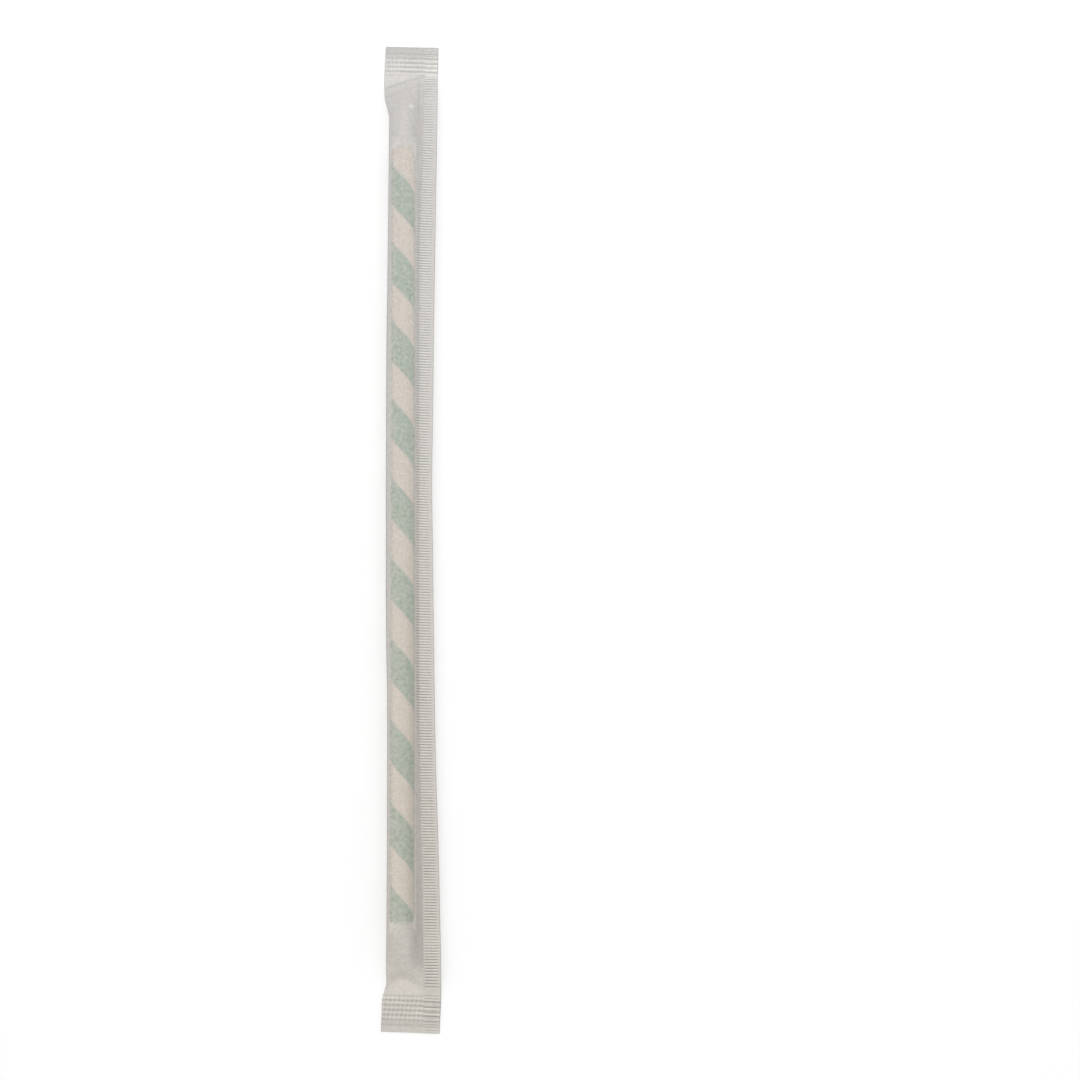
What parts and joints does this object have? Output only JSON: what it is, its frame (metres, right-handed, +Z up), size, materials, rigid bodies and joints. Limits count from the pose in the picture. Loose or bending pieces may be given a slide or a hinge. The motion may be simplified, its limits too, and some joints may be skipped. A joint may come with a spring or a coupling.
{
  "type": "wrapped drinking straw",
  "caption": "Paper drinking straw with a winding printed band, sealed in a thin see-through paper sleeve with a ribbed fin seal along one side and a ribbed crimp across each end.",
  "frame": {"origin": "centre of the wrapper's outline, on the surface it lies on", "axes": "+Y along the straw towards the end with more empty paper, +X towards the fin seal, +Z up from the surface"},
  "size_m": [0.014, 0.2494, 0.0063],
  "materials": {
    "wrapper_paper": "matt",
    "straw_paper": "matt",
    "green_print": "matt"
  },
  "bodies": {
    "root": {"wrapper": "wrapper_paper", "straw": "straw_paper", "printed_stripe": "green_print"}
  },
  "joints": []
}
